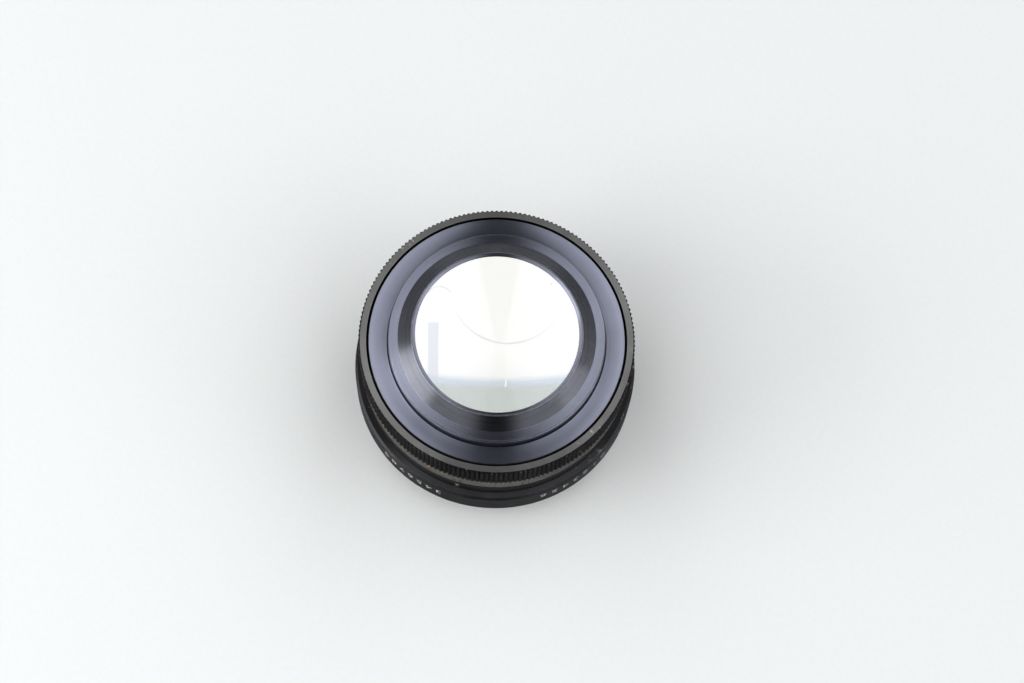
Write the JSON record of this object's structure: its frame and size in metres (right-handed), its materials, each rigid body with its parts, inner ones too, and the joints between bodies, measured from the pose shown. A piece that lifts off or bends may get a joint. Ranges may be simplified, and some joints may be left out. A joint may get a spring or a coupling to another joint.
{
  "type": "enlarger lens",
  "caption": "Darkroom enlarging lens: round black barrel with a knurled aperture ring, dished front, raised nose, clear glass and a bladed iris.",
  "frame": {"origin": "centre of the threaded boss's rear end face, which is the lowest point when the lens stands on its rear", "axes": "+Z along the optical axis towards the front glass; -Y towards the index mark side"},
  "size_m": [0.0626, 0.0626, 0.0382],
  "materials": {
    "black_anodised": "black anodised turned aluminium, satin",
    "violet_anodised": "violet-black anodised turned aluminium, brushed in circles",
    "grip_anodised": "black anodised, fine straight knurl",
    "satin_scale": "satin natural aluminium with filled engraved numerals",
    "matt_black": "matt black anodised inside surfaces",
    "blade_steel": "thin blued spring steel, matt",
    "steel": "bright steel",
    "index_paint": "olive paint filled mark",
    "optical_glass": "clear coated optical glass"
  },
  "bodies": {
    "barrel": {"collar_screw_1": "steel", "collar_screw_2": "steel", "collar_screw_3": "steel", "detent_spring": "steel", "front_cell": "violet_anodised", "front_element": "optical_glass", "front_inner_element": "optical_glass", "front_nose": "violet_anodised", "front_retaining_ring": "matt_black", "front_spacer": "matt_black", "index_mark": "index_paint", "iris_cover": "matt_black", "main_barrel": "black_anodised", "pivot_ring": "matt_black", "rear_cell": "matt_black", "rear_collar": "black_anodised", "rear_element": "optical_glass", "rear_inner_element": "optical_glass", "rear_lock_ring": "black_anodised", "rear_retaining_ring": "matt_black", "rear_spacer": "matt_black"},
    "aperture_ring": {"grip_ring": "grip_anodised", "scale_ring": "satin_scale", "ring_screw_1": "steel", "ring_screw_2": "steel", "ring_screw_3": "steel", "drive_pin": "steel", "cam_ring": "matt_black"},
    "click_ball": {"detent_ball": "steel"},
    "blade_1": {"iris_blade_1": "blade_steel"},
    "blade_2": {"iris_blade_2": "blade_steel"},
    "blade_3": {"iris_blade_3": "blade_steel"},
    "blade_4": {"iris_blade_4": "blade_steel"},
    "blade_5": {"iris_blade_5": "blade_steel"},
    "blade_6": {"iris_blade_6": "blade_steel"},
    "blade_7": {"iris_blade_7": "blade_steel"},
    "blade_8": {"iris_blade_8": "blade_steel"},
    "blade_9": {"iris_blade_9": "blade_steel"}
  },
  "joints": [
    {"name": "aperture_turn", "type": "hinge", "parent": "barrel", "child": "aperture_ring", "pos_m": [0, 0, 0.0195], "axis": [0, 0, 1], "range_deg": [0, 66]},
    {"name": "ball_press", "type": "slide", "parent": "barrel", "child": "click_ball", "axis": [0, 0, 1], "range_m": [-0.0004, 0], "deforming": ["detent_spring"]},
    {"name": "blade_1_swing", "type": "hinge", "parent": "barrel", "child": "blade_1", "pos_m": [0.025, 0, 0.02305], "axis": [0, 0, 1], "range_deg": [0, 33]},
    {"name": "blade_2_swing", "type": "hinge", "parent": "barrel", "child": "blade_2", "pos_m": [0.01915, 0.01607, 0.02305], "axis": [0, 0, 1], "range_deg": [0, 33]},
    {"name": "blade_3_swing", "type": "hinge", "parent": "barrel", "child": "blade_3", "pos_m": [0.00434, 0.02462, 0.02305], "axis": [0, 0, 1], "range_deg": [0, 33]},
    {"name": "blade_4_swing", "type": "hinge", "parent": "barrel", "child": "blade_4", "pos_m": [-0.0125, 0.02165, 0.02305], "axis": [0, 0, 1], "range_deg": [0, 33]},
    {"name": "blade_5_swing", "type": "hinge", "parent": "barrel", "child": "blade_5", "pos_m": [-0.02349, 0.00855, 0.02305], "axis": [0, 0, 1], "range_deg": [0, 33]},
    {"name": "blade_6_swing", "type": "hinge", "parent": "barrel", "child": "blade_6", "pos_m": [-0.02349, -0.00855, 0.02305], "axis": [0, 0, 1], "range_deg": [0, 33]},
    {"name": "blade_7_swing", "type": "hinge", "parent": "barrel", "child": "blade_7", "pos_m": [-0.0125, -0.02165, 0.02305], "axis": [0, 0, 1], "range_deg": [0, 33]},
    {"name": "blade_8_swing", "type": "hinge", "parent": "barrel", "child": "blade_8", "pos_m": [0.00434, -0.02462, 0.02305], "axis": [0, 0, 1], "range_deg": [0, 33]},
    {"name": "blade_9_swing", "type": "hinge", "parent": "barrel", "child": "blade_9", "pos_m": [0.01915, -0.01607, 0.02305], "axis": [0, 0, 1], "range_deg": [0, 33]}
  ],
  "couplings": [
    {"joint": "blade_1_swing", "follows": "aperture_turn", "ratio": 0.5},
    {"joint": "blade_2_swing", "follows": "aperture_turn", "ratio": 0.5},
    {"joint": "blade_3_swing", "follows": "aperture_turn", "ratio": 0.5},
    {"joint": "blade_4_swing", "follows": "aperture_turn", "ratio": 0.5},
    {"joint": "blade_5_swing", "follows": "aperture_turn", "ratio": 0.5},
    {"joint": "blade_6_swing", "follows": "aperture_turn", "ratio": 0.5},
    {"joint": "blade_7_swing", "follows": "aperture_turn", "ratio": 0.5},
    {"joint": "blade_8_swing", "follows": "aperture_turn", "ratio": 0.5},
    {"joint": "blade_9_swing", "follows": "aperture_turn", "ratio": 0.5}
  ]
}
